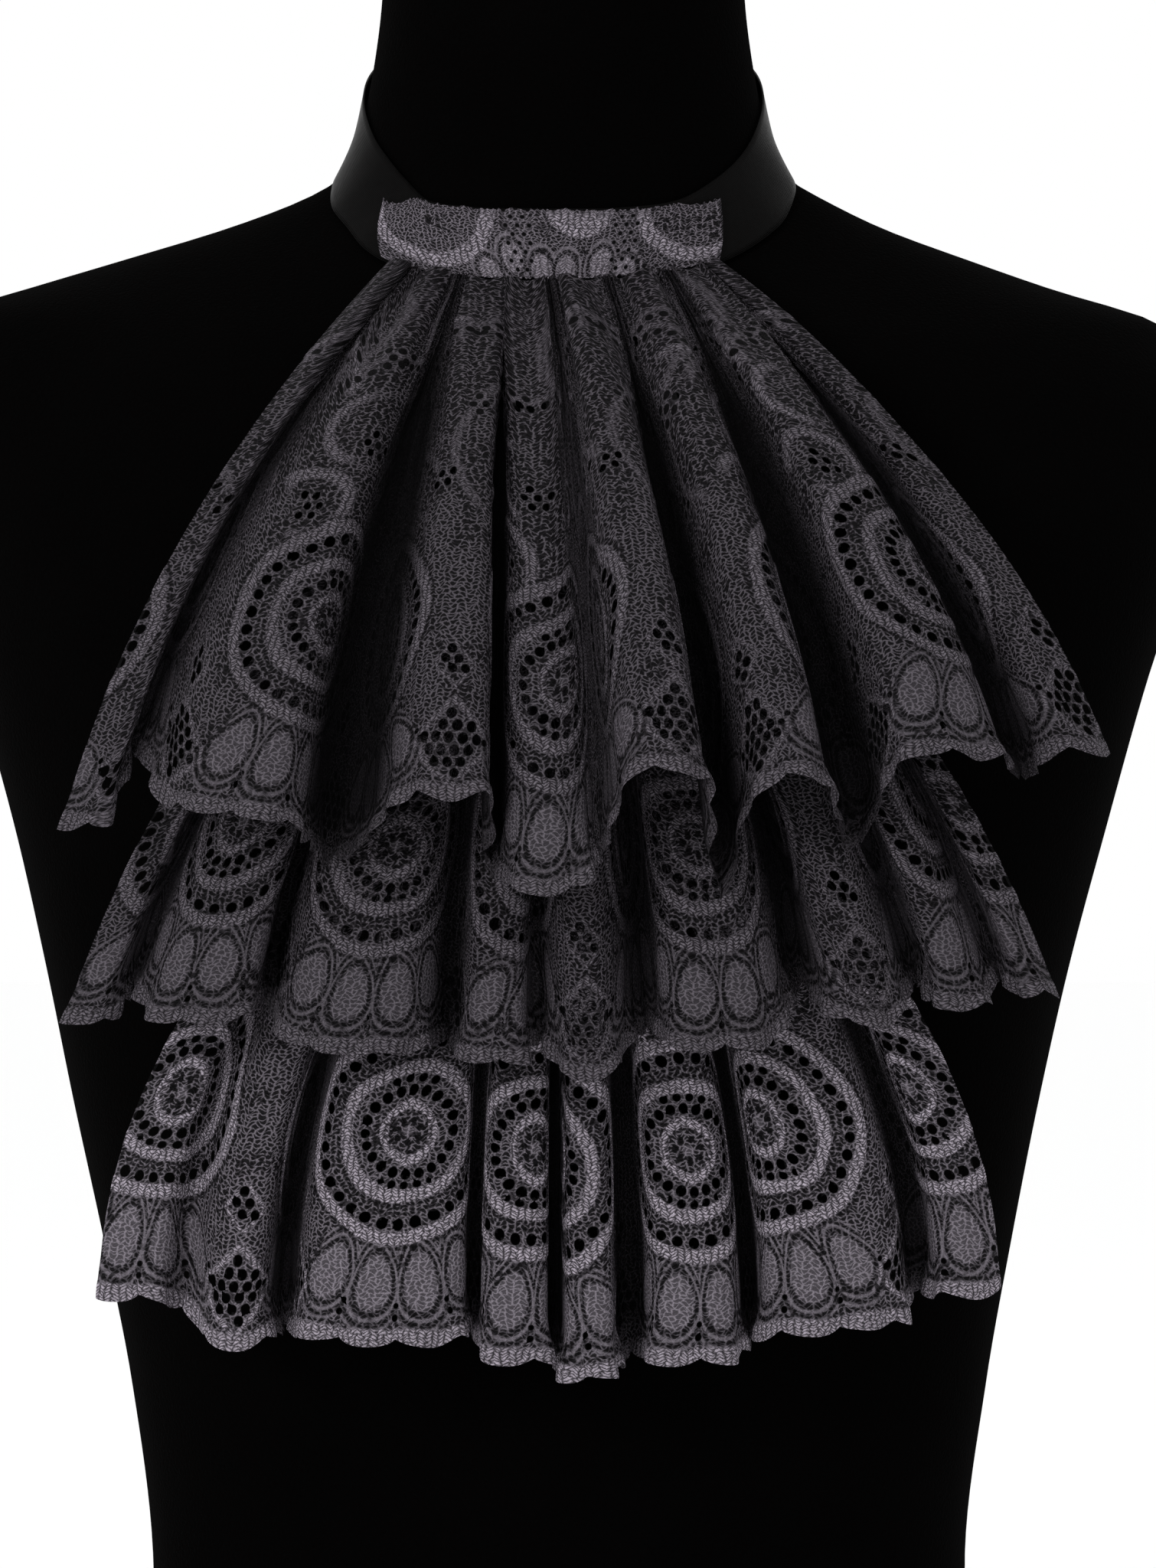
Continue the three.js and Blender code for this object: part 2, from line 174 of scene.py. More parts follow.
class Socket:
    """An output in the material that is being written."""

    tree = None

    def __init__(self, output):
        self.output = output

    @staticmethod
    def node(kind, inputs, settings=(), output=0):
        """Adds any node: its settings first, then the values or links of its sockets."""
        node = Socket.tree.nodes.new(kind)
        for key, value in dict(settings).items():
            setattr(node, key, value)
        for key, value in inputs.items():
            if isinstance(value, Socket):
                Socket.tree.links.new(value.output, node.inputs[key])
            else:
                node.inputs[key].default_value = value
        return Socket(node.outputs[output])

    @staticmethod
    def maths(operation, *values):
        return Socket.node("ShaderNodeMath", dict(enumerate(values)), {"operation": operation})

    __add__ = __radd__ = sign("ADD")
    __mul__ = __rmul__ = sign("MULTIPLY")
    __sub__, __truediv__ = sign("SUBTRACT"), sign("DIVIDE")
    __pow__, __abs__ = sign("POWER"), sign("ABSOLUTE")

    def __rsub__(self, other):
        return Socket.maths("SUBTRACT", other, self)


def either(operation, on_arrays):
    """A sum that becomes a Math node on sockets and a NumPy call on arrays."""

    def work(*values):
        if any(isinstance(value, Socket) for value in values):
            return Socket.maths(operation, *values)
        return on_arrays(*values)

    return work


least = either("MINIMUM", np.minimum)
most = either("MAXIMUM", np.maximum)
sine = either("SINE", np.sin)
root = either("SQRT", np.sqrt)
turn_of = either("ARCTAN2", np.arctan2)
fraction = either("FRACT", lambda value: value - np.floor(value))


def ramp(low, high, value):
    """0 below low and 1 above high, with an S-curve between."""
    if isinstance(value, Socket):
        ends = {"From Min": low, "From Max": high, "Value": value}
        return Socket.node("ShaderNodeMapRange", ends, {"interpolation_type": "SMOOTHSTEP"})
    share = np.clip((value - low) / (high - low), 0, 1)
    return share * share * (3 - 2 * share)


def centred(value, period):
    """How far a value is from the nearest whole period."""
    return (fraction(value / period + 0.5) - 0.5) * period


def reach_of(x, y):
    """How far a point is from a centre."""
    return root(x * x + y * y)


def stripe(distance, width, soft=0.35):
    """1 on a line of that width, 0 off it."""
    return 1 - ramp(width / 2 - soft, width / 2 + soft, abs(distance))


def oval(x, y, half_x, half_y):
    """About how many millimetres a point is outside an oval, less than 0 inside."""
    return (reach_of(x * (1 / half_x), y * (1 / half_y)) - 1) * min(half_x, half_y)


print("ramp test:", ramp(0.0, 1.0, np.array([0, 0.5, 1])))

# %% [markdown]
# ## The lace pattern
#
# The lace is a 200 mm flounce with one scalloped edge. Its repeat is 96 mm, five lobes wide. Over four of the lobes
# stand four egg shapes under a round medallion: a small flower, then three rings of braid with ladders of holes
# between them. The fifth lobe has a cluster of holes in a braid frame. The field above has soft leaf stems, satin
# hooks and small clusters of holes on a fine knitted ground. "u" runs along the edge and "v" up from it, both in
# millimetres, and a medallion's centre line is at u = 0.

# %% The lace's own sizes
LACE_WIDTH = 200.0
REPEAT = 96.0
LOBE = REPEAT / 5
LOBE_DEPTH = 3.2
MEDALLION_RISE = 71.0
RINGS = {"inner": (10.2, 3.4), "middle": (21.6, 4.2), "outer": (34.6, 4.4)}  # radius and width of each braid
EGG_STEP = math.radians(18.35)  # between two eggs, about the medallion's centre
EGG_REACH = 50.0  # from that centre to an egg's middle
EGG_HALF = (5.3, 9.6)
CLUSTER_RISE = 20.0
HOLE_PITCH = 4.5
FAR = 20  # added to a distance to leave a mark or a hole out


def edge_line(u):
    """The height of the cut edge: a row of lobes, the outer two of four a little higher."""
    lobe = abs(sine(u * (math.pi / LOBE))) ** 0.7
    x = abs(centred(u, REPEAT))
    lift = ramp(14, 26, x) * (1 - ramp(34, 46, x))
    return LOBE_DEPTH * (1 - lobe) + 1.8 * lift


def drifted(u, v):
    """The pattern as it was really worked, pulled a little out of true."""
    across = sine(v * 0.17 + sine(u * 0.11) * 1.5) * 0.6 + sine(u * 0.29 + v * 0.17) * 0.15
    up = sine(u * 0.15 + sine(v * 0.13) * 1.4) * 0.6 + sine(v * 0.31 - u * 0.12) * 0.15
    return u + across, v + up * ramp(2, 14, v)


def ladder(radius, turn, reach, count, half_along, half_across):
    """A ring of oval holes about the medallion's centre."""
    along = centred(turn, 2 * math.pi / count) * reach
    return oval(along, radius - reach, half_along, half_across)


def honeycomb(x, y, pitch, half, region):
    """Round holes in staggered rows, each kept whole where region(x, y) of its centre is under 0."""
    rise = pitch * math.sqrt(3)
    nearest = 5.0 * FAR
    for shift in (0, 0.5):
        across = centred(x + shift * pitch, pitch)
        up = centred(y + shift * rise, rise)
        left_out = ramp(-0.01, 0.01, region(x - across, y - up)) * FAR
        nearest = least(oval(across, up, half, half * 1.12) + left_out, nearest)
    return nearest


def hooks(x, y):
    """Satin hooks and leaves of the upper field."""
    mark = 0.0
    for side, rise, radius, start, width in UPPER_HOOKS:
        dx = centred(x - side, REPEAT)
        dy = y - rise
        turn = turn_of(dx, dy)
        reach = reach_of(dx, dy)
        arc = stripe(reach - radius, width, 0.6) * (1 - ramp(1.1, 1.5, abs(centred(turn - start, 2 * math.pi))))
        mark = most(arc, mark)
    return mark


UPPER_HOOKS = [  # centre across and up, radius, direction of the bow, width
    (-22, 113, 12.5, 2.2, 4.0),
    (-22, 113, 12.5, 0.0, 4.0),
    (14, 129, 7.0, 2.1, 4.2),
    (-12, 146, 15.0, -1.6, 3.6),
    (27, 143, 8.0, -1.9, 4.0),
    (-34, 166, 9.5, 0.6, 3.8),
    (9, 174, 9.5, 2.7, 3.8),
    (41, 190, 8.0, -0.9, 3.6),
]
UPPER_CLUSTERS = [  # centre across and up, radius
    (-22, 113, 5.6),
    (40, 118, 5.0),
    (-8, 139, 5.8),
    (-46, 152, 4.8),
    (22, 162, 5.2),
    (-14, 182, 5.4),
]
UPPER_RINGS = [(-4, 152, 27.0), (44, 166, 25.0), (20, 121, 13.0), (-38, 182, 14.0)]  # ladders that bow over the field


def upper_region(x, y):
    nearest = 5.0 * FAR
    for side, rise, radius in UPPER_CLUSTERS:
        dx = centred(x - side, REPEAT)
        dy = y - rise
        nearest = least(reach_of(dx, dy) - radius, nearest)
    return nearest


def cluster_region(x, y):
    dx = abs(centred(x - REPEAT / 2, REPEAT))
    low = dx * (1 / 12.2) + abs(y - CLUSTER_RISE) * (1 / 12.0) - 1
    high = dx * (1 / 6.0) + abs(y - 47) * (1 / 7.0) - 1
    return least(low, high) * 8


def medallion_axes(u, v):
    """How far a point is to the side of the nearest medallion's centre, its radius, and its turn from straight down."""
    x = centred(u, REPEAT)
    y = v - MEDALLION_RISE
    return x, reach_of(x, y), turn_of(x, 0 - y)


def lace_holes(u, v):
    """The distance outside the nearest cut hole, in millimetres."""
    u, v = drifted(u, v)
    _, radius, turn = medallion_axes(u, v)
    nearest = ladder(radius, turn, 14.4, 20, 1.6, 1.8)
    nearest = least(nearest, ladder(radius, turn, 30.0, 32, 1.8, 1.85))
    poles = centred(turn, math.pi)
    second = ladder(radius, turn, 18.2, 25, 1.4, 1.25) + ramp(0.5, 0.55, abs(poles)) * FAR
    nearest = least(nearest, second)
    side = ramp(math.radians(40), math.radians(42), abs(turn)) * FAR
    for reach, half in ((61.5, 1.15), (57.6, 0.95)):
        nearest = least(nearest, oval(centred(turn, EGG_STEP) * reach, radius - reach, half, half) + side)
    nearest = least(nearest, honeycomb(u, v - 2.4, HOLE_PITCH, 1.55, lambda a, b: cluster_region(a, b + 2.4)))
    nearest = least(nearest, honeycomb(u, v, HOLE_PITCH, 1.3, upper_region))
    for side, rise, reach in UPPER_RINGS:
        dx = centred(u - side, REPEAT)
        dy = v - rise
        bow = turn_of(dx, dy)
        off = ramp(1.25, 1.3, abs(bow)) * FAR
        ring = ladder(reach_of(dx, dy), bow, reach, round(2 * math.pi * reach / 4.7), 1.25, 1.6)
        nearest = least(nearest, ring + off)
    return nearest


def egg_outside(radius, turn):
    """The distance outside the nearest egg, and far more beyond the outer eggs."""
    step = centred(turn - EGG_STEP / 2, EGG_STEP)
    beyond = ramp(2 * EGG_STEP, 2 * EGG_STEP + 0.01, abs(turn)) * FAR
    reach = radius - EGG_REACH - ramp(0.2, 0.6, abs(turn)) * 2.2
    narrow = 1 + ramp(-9, 9, reach) * 0.16
    return oval(step * EGG_REACH / narrow, reach, *EGG_HALF) + beyond


def lace_marks(u, v):
    """What the thread does at a point: satin braid, closer fill, fine dots and single threads, each from 0 to 1."""
    u, v = drifted(u, v)
    x, radius, turn = medallion_axes(u, v)
    egg = egg_outside(radius, turn)
    pointed = radius + abs(x) * 0.3
    braid = 0.0
    for away, (reach, width) in zip((pointed, radius, radius), RINGS.values()):
        braid = most(stripe(away - reach, width), braid)
    above_edge = v - edge_line(u)
    hem_depth = 3.4 + 2.6 * abs(sine(u * (math.pi / LOBE)))
    braid = most(braid, (1 - ramp(-0.9, 0.9, above_edge - hem_depth)) * 0.85)
    braid = most(braid, stripe(cluster_region(u, v) - 1.6, 2.0, 0.6) * 0.8)
    braid = most(braid, hooks(u, v))
    stems = 0.0
    for side, lean in ((12, 1), (-36, -1)):
        bow = 17 * lean * sine((v - 96) * (math.pi / 72))
        stems = most(stems, stripe(centred(u - side, REPEAT) - bow, 3.4, 1.0))
    stems = stems * ramp(104, 110, v)
    for side, rise, reach in UPPER_RINGS:
        dx = centred(u - side, REPEAT)
        dy = v - rise
        off = 1 - ramp(1.3, 1.5, abs(turn_of(dx, dy)))
        stems = most(stems, stripe(reach_of(dx, dy) - reach - 3.6, 2.8, 0.9) * off)
    outside_rings = ramp(RINGS["outer"][0] + 1.5, RINGS["outer"][0] + 2.5, radius)
    braid = most(braid, stems * 0.5 * outside_rings)
    fill = 1 - ramp(-0.4, 0.4, egg)
    fill = most(fill, (1 - ramp(-0.5, 0.5, radius - 2.0)) * 0.9)
    dots = (1 - ramp(-0.2, 0.3, ladder(radius, turn, 4.2, 7, 1.0, 1.25))) * 1.2
    for reach, pitch in ((7.2, 2.4), (24.9, 2.3), (27.0, 2.4), (38.0, 2.4)):
        ring = ladder(radius, turn, reach, round(2 * math.pi * reach / pitch), 0.75, 0.65)
        dots = most(dots, 1 - ramp(-0.2, 0.3, ring))
    hem_row = stripe(above_edge - hem_depth - 1.5, 1.2, 0.35) * (0.5 + 0.5 * sine(u * (2 * math.pi / 2.4)))
    dots = most(dots, hem_row)
    round_egg = turn_of(centred(turn - EGG_STEP / 2, EGG_STEP) * EGG_REACH, radius - EGG_REACH)
    beads = 0.5 + 0.5 * sine(round_egg * 22)
    outlines = most(stripe(egg - 0.9, 1.1, 0.35), stripe(egg - 2.9, 1.0, 0.35))
    beside_rings = ramp(35.5, 37.5, radius)
    dots = most(dots, outlines * (0.5 + 0.5 * beads) * beside_rings)
    threads = most(stripe(egg - 1.9, 0.7, 0.3), stripe(egg - 3.7, 0.6, 0.3)) * beside_rings
    return {"braid": braid, "fill": fill, "dots": dots, "threads": threads}


sample = np.linspace(0, REPEAT, 5)
print("edge heights:", np.round(edge_line(sample), 2))

# %% [markdown]
# ## The dress form's shape
#
# The form is a tailor's bust: every level section is a rounded body, blended into the neck's oval. The tables are the
# ones the solid was made from. A smooth curve runs through their rows, and all sums are done on whole arrays, so the
# cloth can be laid on it point by point.

# %% Tables of the form
def table(columns, rows):
    """A table's columns by name."""
    return dict(zip(columns.split(), np.array(rows, float).T))


def smooth(rows, column, at):
    """A smooth curve through a table's rows, read at a value of its first column."""
    x = next(iter(rows.values()))
    y = rows[column]
    at = np.clip(at, x[0], x[-1])
    i = np.clip(np.searchsorted(x, at, side="right") - 1, 0, len(x) - 2)
    slopes = np.diff(y) / np.diff(x)
    middle = (slopes[:-1] + slopes[1:]) / 2
    before = np.concatenate([slopes[:1], middle])[i]
    after = np.concatenate([middle, slopes[-1:]])[i]
    step = x[i + 1] - x[i]
    t = (at - x[i]) / step
    ends = y[i] * (1 + 2 * t) * (1 - t) ** 2 + y[i + 1] * t * t * (3 - 2 * t)
    return ends + step * t * (1 - t) * (before * (1 - t) - after * t)


BODY = table(
    "z centre half front back square",
    [
        (0, 0, 153, 104, 100, 2.3),
        (50, 0, 144, 100, 96, 2.3),
        (108, -1.5, 139.6, 99, 93, 2.3),
        (171, -1.5, 147, 104, 95, 2.3),
        (219, -2, 156, 110, 98, 2.3),
        (266, -2.5, 165.7, 116, 102, 2.3),
        (314, -2, 176, 121, 107, 2.3),
        (361, -1, 187.6, 124.5, 112, 2.3),
        (409, -1, 201, 124, 117, 2.3),
        (450, -1, 214, 117, 120, 2.3),
        (480, -2, 221, 107, 120, 2.3),
        (508, -3, 224, 92, 117, 2.3),
        (527, -6, 217, 77, 109, 2.15),
        (535.4, -8.5, 212, 68, 103, 2),
        (545.9, -8.5, 178.5, 57, 94, 2),
        (556.5, -6, 145.5, 47, 84, 2),
        (567, -3, 114, 38, 72, 2),
        (577.6, 0, 89, 30, 60, 2),
        (588.1, 0, 70, 24, 50, 2),
        (604, 0, 50, 20, 40, 2),
        (668, 0, 40, 20, 30, 2),
    ],
)
NECK = table(
    "z half front back",
    [
        (0, 60, 54, 60),
        (500, 66, 58, 76),
        (546, 70, 61, 78),
        (577.6, 71, 61, 74),
        (593.4, 71.5, 61, 70),
        (604, 69, 61, 67),
        (625, 65, 62.5, 62),
        (646, 62.5, 64, 59),
        (668, 62, 65.5, 57),
    ],
)
NECK_BLEND = 16
FORM_HEIGHT = 668


def form_point(turn, z, share=1.0):
    """Points of the form's surface, in millimetres: turn in radians from the front."""
    side, forward = np.sin(turn), np.cos(turn)
    ahead = forward > 0
    body_depth = np.where(ahead, smooth(BODY, "front", z), smooth(BODY, "back", z))
    neck_depth = np.where(ahead, smooth(NECK, "front", z), smooth(NECK, "back", z))
    square = smooth(BODY, "square", z)
    wide = np.abs(side / smooth(BODY, "half", z)) ** square
    deep = np.abs(forward / body_depth) ** square
    body = (wide + deep) ** (-1 / square)
    neck = 1 / np.hypot(side / smooth(NECK, "half", z), forward / neck_depth)
    blend = (body**NECK_BLEND + neck**NECK_BLEND) ** (1 / NECK_BLEND)
    centre = smooth(BODY, "centre", z)
    return np.stack([centre + blend * share * side, -blend * share * forward, z + 0 * side], -1)


def form_normal(turn, z):
    across = form_point(turn + 0.01, z) - form_point(turn - 0.01, z)
    up = form_point(turn, z + 0.5) - form_point(turn, z - 0.5)
    normal = np.cross(across, up)
    return normal / np.linalg.norm(normal, axis=-1, keepdims=True)


def clear_of(turn, z, clear):
    return form_point(turn, z) + form_normal(turn, z) * np.asarray(clear)[..., None]


def turn_at(x, z):
    """The turn of the form's front surface that lies at x."""
    low = np.full(np.broadcast(x, z).shape, -np.pi / 2)
    high = -low
    for _ in range(24):
        middle = (low + high) / 2
        left = form_point(middle, z)[..., 0] < x
        low = np.where(left, middle, low)
        high = np.where(left, high, middle)
    return (low + high) / 2


print("chest depth at 390 mm:", round(float(-form_point(0.0, 390.0)[1]), 1))

# %% [markdown]
# ## Pieces from grids
#
# Cloth is made from a flat grid whose points are then moved, all at once, to where the cloth lies. The grid keeps its
# order, so each point's place on the flat cloth goes into a UV map in millimetres: the lace pattern reads it there.

# %% Making a piece
def places_of(mesh):
    """The points of a mesh as an array."""
    places = np.empty(len(mesh.vertices) * 3, np.float32)
    mesh.vertices.foreach_get("co", places)
    return places.reshape(-1, 3)


def corners_of(mesh):
    """The vertex at each corner of each face, face by face."""
    corners = np.empty(len(mesh.loops), np.int32)
    mesh.loops.foreach_get("vertex_index", corners)
    return corners


def grid_mesh(name, columns, rows):
    """A flat grid, and each vertex's column and row in it."""
    bm = bmesh.new()
    bmesh.ops.create_grid(bm, x_segments=columns, y_segments=rows, size=1)
    mesh = mesh_from(bm, name)
    shares = (places_of(mesh)[:, :2] + 1) / 2
    index = np.rint(shares * (columns, rows)).astype(int)
    return mesh, index[:, 0], index[:, 1]


def place_points(mesh, points):
    mesh.vertices.foreach_set("co", (points * MM).astype(np.float32).ravel())
    mesh.update()


def lay_uv(mesh, flat):
    """Puts each vertex's place on the flat cloth into a UV map."""
    layer = mesh.uv_layers.new(name="cloth")
    layer.data.foreach_set("uv", flat[corners_of(mesh)].astype(np.float32).ravel())


def shown(name, mesh, material, node):
    """Puts a finished mesh in the scene for the solid it stands for."""
    piece = bpy.data.objects.new(name, mesh)
    bpy.context.scene.collection.objects.link(piece)
    mesh.materials.append(material)
    mesh.polygons.foreach_set("use_smooth", np.ones(len(mesh.polygons), bool))
    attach(piece, "root")
    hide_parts(node)
    return piece


def cloth_material(name):
    """A new material, with Socket writing into it."""
    material, shader = new_material(name)
    Socket.tree = material.node_tree
    return material, shader


def link(value, shader, name):
    Socket.tree.links.new(value.output, shader.inputs[name])


def flat_place():
    """The place on the flat cloth, u and v in millimetres."""
    uv = Socket.node("ShaderNodeUVMap", {}, {"uv_map": "cloth"})
    parts = Socket.tree.nodes.new("ShaderNodeSeparateXYZ")
    Socket.tree.links.new(uv.output, parts.inputs[0])
    return Socket(parts.outputs[0]), Socket(parts.outputs[1]), uv


def noise(vector, scale, detail=2.0):
    inputs = {"Vector": vector, "Scale": scale, "Detail": detail}
    return Socket.node("ShaderNodeTexNoise", inputs, {"noise_dimensions": "3D"})


def blend_colour(share, first, second):
    """A colour between two, by a share that may vary."""
    inputs = {"Factor": share, 6: first, 7: second}
    return Socket.node("ShaderNodeMix", inputs, {"data_type": "RGBA"}, output=2)


def bump(height, distance):
    return Socket.node("ShaderNodeBump", {"Height": height, "Distance": distance, "Strength": 1.0})


# %% [markdown]
# ## The dress form
#
# A bust like this is turned about one upright line, so it starts as a profile spun round that line, with its seam
# merged. Each ring of points is then drawn out to its level section. A black cotton velvet covers it: almost no
# light comes back, apart from a faint bloom where the nap is seen edge on.

# %% Form
FORM_EDGE = 4
FORM_EDGE_DRAW = 0.965
FORM_STEPS = 120


def form_mesh():
    levels = np.concatenate([np.linspace(FORM_EDGE, 500, 70), np.linspace(505, FORM_HEIGHT - 6, 50)])
    profile = [(0, 0), (FORM_EDGE_DRAW * 0.5, 0), (FORM_EDGE_DRAW, 0), (0.992, 1.2)]
    profile += [(1, z) for z in levels]
    profile += [(0.992, FORM_HEIGHT - 1.5), (FORM_EDGE_DRAW, FORM_HEIGHT), (0.5, FORM_HEIGHT), (0, FORM_HEIGHT)]
    bm = bmesh.new()
    line = [bm.verts.new((share, 0, z)) for share, z in profile]
    edges = [bm.edges.new(pair) for pair in zip(line, line[1:])]
    bmesh.ops.spin(bm, geom=line + edges, axis=(0, 0, 1), cent=(0, 0, 0), angle=math.tau,
                   steps=FORM_STEPS, use_merge=True)
    bmesh.ops.remove_doubles(bm, verts=bm.verts, dist=1e-4)
    bmesh.ops.recalc_face_normals(bm, faces=bm.faces)
    mesh = mesh_from(bm, "form")
    places = places_of(mesh).astype(float)
    share = np.hypot(places[:, 0], places[:, 1])
    turn = np.arctan2(places[:, 0], -places[:, 1])
    place_points(mesh, form_point(turn, places[:, 2], share))
    return edited(mesh, lambda bm: bmesh.ops.recalc_face_normals(bm, faces=bm.faces))


def velvet():
    material, shader = cloth_material("velvet")
    place = Socket.node("ShaderNodeTexCoord", {}, output=3)
    pile = noise(place, 900.0, 3.0)
    brushed = noise(place, 14.0, 3.0)
    shade = pile * 0.5 + brushed * 0.5
    link(blend_colour(shade, (0.0005, 0.00045, 0.00045, 1), (0.0016, 0.00145, 0.00145, 1)), shader, "Base Color")
    link(bump(pile, 0.0004), shader, "Normal")
    set_inputs(shader, {"Roughness": 1.0, "Specular IOR Level": 0.0, "Sheen Weight": 0.008, "Sheen Roughness": 0.4})
    return material


form = shown("form_cover", form_mesh(), velvet(), "dress_form")
print("form faces:", len(form.data.polygons))

# %% [markdown]
# ## Neck ribbon and backing
#
# The ribbon is a strip that follows a path round the neck, low in front and high at the nape, where its right end
# laps over the left one. It is laid on the form's own surface and given its thickness by a Solidify modifier. The
# backing is the hidden strip that the ruffles are sewn to. Black satin is dark face on, and it shines only where it
# turns away.

# %% Strips round the neck
SEAM_GAP = 0.3
FORM_CLEARANCE = 1.1
RIBBON_WIDTH = 25
RIBBON_THICK = 1.0
RIBBON_LAP = 9  # degrees past the nape, at each end
RIBBON_ROUND = 450  # once round the neck
BAND_THICK = 1.2
BAND_HALF_TURN = 45
BAND_FLARE = 0.28  # how much further round the band reaches at its upper edge, so its ends are upright
RIBBON_CLEAR = FORM_CLEARANCE + RIBBON_THICK / 2
BAND_CLEAR = RIBBON_CLEAR + RIBBON_THICK / 2 + 3 * SEAM_GAP + BAND_THICK / 2
RIBBON_PATH = table(
    "turn z",
    [(0, 557), (25, 558), (45, 562.5), (60, 574), (75, 589), (90, 602), (110, 614), (135, 623), (160, 627), (190, 628)],
)


def collar(degrees, v, clear):
    """A strip round the neck, on its path: v runs from its upper edge to its lower one."""

    def middle_at(turn):
        return form_point(turn, smooth(RIBBON_PATH, "z", np.abs(np.degrees(turn))))

    turn = np.radians(degrees)
    middle = middle_at(turn)
    along = middle_at(turn + 0.02) - middle_at(turn - 0.02)
    across = np.cross(along, form_normal(turn, middle[..., 2]))
    across /= np.linalg.norm(across, axis=-1, keepdims=True)

    def edge(reach):
        point = middle + across * reach
        point_turn = np.arctan2(point[..., 0] - smooth(BODY, "centre", point[..., 2]), -point[..., 1])
        return clear_of(point_turn, point[..., 2], clear)

    share = np.asarray(v)[..., None]
    return edge(-RIBBON_WIDTH / 2) * (1 - share) + edge(RIBBON_WIDTH / 2) * share


def foot_of(clear):
    """The height at x of the lower edge of a strip that lies so far off the form."""
    turns = np.arange(-BAND_HALF_TURN - 15, BAND_HALF_TURN + 15.1, 4.5)
    edge = collar(turns, np.ones(len(turns)), np.full(len(turns), clear))
    rows = {"x": edge[:, 0], "z": edge[:, 2]}
    return lambda x: smooth(rows, "z", x)


ribbon_foot = foot_of(RIBBON_CLEAR)
band_foot = foot_of(BAND_CLEAR)


def thicken(piece, thick):
    """An even thickness about the middle surface."""
    wall = piece.modifiers.new("thickness", "SOLIDIFY")
    wall.thickness = thick * MM
    wall.offset = 0
    wall.use_even_offset = False


def ribbon_mesh():
    columns, rows = 480, 12
    mesh, i, j = grid_mesh("ribbon", columns, rows)
    end = 180 + RIBBON_LAP
    degrees = -end + 2 * end * i / columns
    v = 1 - j / rows
    lift = (RIBBON_THICK + SEAM_GAP) * ramp(end - 5 * RIBBON_LAP, end - 2.5 * RIBBON_LAP, degrees)
    place_points(mesh, collar(degrees, v, RIBBON_CLEAR + lift))
    length = 2 * end / 360 * RIBBON_ROUND
    lay_uv(mesh, np.stack([length * i / columns, RIBBON_WIDTH * j / rows], -1))
    return mesh, length


def satin():
    material, shader = cloth_material("satin")
    u, v, uv = flat_place()
    weft = 0.5 + 0.5 * sine(v * (2 * math.pi / 0.5))
    slub = noise(uv, 0.35, 2.0)
    shade = weft * 0.3 + slub * 0.7
    link(blend_colour(shade, (0.0011, 0.001, 0.001, 1), (0.0028, 0.0026, 0.0026, 1)), shader, "Base Color")
    link(shade * 0.12 + 0.3, shader, "Roughness")
    link(bump(weft * 0.6 + slub * 0.8, 0.0001), shader, "Normal")
    set_inputs(shader, {"Specular IOR Level": 0.025})
    return material


made, ribbon_length = ribbon_mesh()
ribbon = shown("ribbon", made, satin(), "neck_ribbon")
thicken(ribbon, RIBBON_THICK * 0.8)
print("ribbon length:", round(ribbon_length), "mm")

# %% Backing
BACKING_THICK = 1.0
BACKING_CLEAR = FORM_CLEARANCE + BACKING_THICK / 2
BACKING_TOP = 545.5
BACKING_WEAVE = 180  # the length that the weave is drawn over
BACKING = table("z half", [(372, 44), (400, 45), (482, 50), (545.5, 52)])


def backing_mesh():
    columns, rows = 48, 80
    mesh, i, j = grid_mesh("backing", columns, rows)
    foot = BACKING["z"][0]
    v = 1 - j / rows
    level = BACKING_TOP + (foot - BACKING_TOP) * v
    x = smooth(BACKING, "half", level) * (2 * i / columns - 1) - 3.5 * (1 - v)
    top = ribbon_foot(x) - 2 * SEAM_GAP
    z = top + (foot - top) * v
    turn = turn_at(x, z)
    tipped = z - BACKING_CLEAR * form_normal(turn, z)[..., 2]
    place_points(mesh, clear_of(turn, tipped, np.full(len(turn), BACKING_CLEAR)))
    lay_uv(mesh, np.stack([x, BACKING_WEAVE * (1 - v)], -1))
    return mesh


def plain_weave():
    material, shader = cloth_material("backing_cloth")
    u, v, uv = flat_place()
    warp = sine(u * (2 * math.pi / 0.7)) * sine(v * (2 * math.pi / 0.7))
    link(blend_colour(warp * 0.5 + 0.5, (0.001, 0.001, 0.001, 1), (0.003, 0.003, 0.003, 1)), shader, "Base Color")
    link(bump(warp, 0.0001), shader, "Normal")
    set_inputs(shader, {"Roughness": 0.9})
    return material


backing = shown("backing_strip", backing_mesh(), plain_weave(), "backing")
thicken(backing, BACKING_THICK * 0.8)
print("backing faces:", len(backing.data.polygons))

# %% [markdown]
# ## The lace's finish
#
# The thread is a dark grey with a trace of violet. Satin braid lies flat and returns most light, the eggs' fill is a
# close knit, and the ground is a fine wavy knit with dark gaps. Every mark comes from the pattern's own sums, read on
# the flat-cloth map, so the colour, the bump and the cut holes agree. A mesh attribute, "deep", says how far down
# between two folds a point lies, where little light comes. There the lace is painted almost black and its braid is
# painted out: this darkening is painted shade.

# %% Lace material
THREAD = (0.96, 0.86, 1.0)
TONES = {  # how light the lower and upper ends of each kind of work are
    "ground": (0.01, 0.17),
    "fill": (0.085, 0.25),
    "braid": (0.03, 0.5),
}
LONE_THREAD = 0.2
HOLE_RIM = 0.16
OPEN, CUT, PAINTED_SHADE_TONE = 0.003, 0.002, 0.0015  # what is seen in a slit and in a hole, and the painted shade down between folds


def tinted(level):
    return tuple(level * part for part in THREAD) + (1,)


def worked(share, kind, strength):
    """The colour of one kind of work: share runs from its gaps to its threads."""
    low, high = TONES[kind]
    return blend_colour(share, tinted(low * strength), tinted(high * strength))


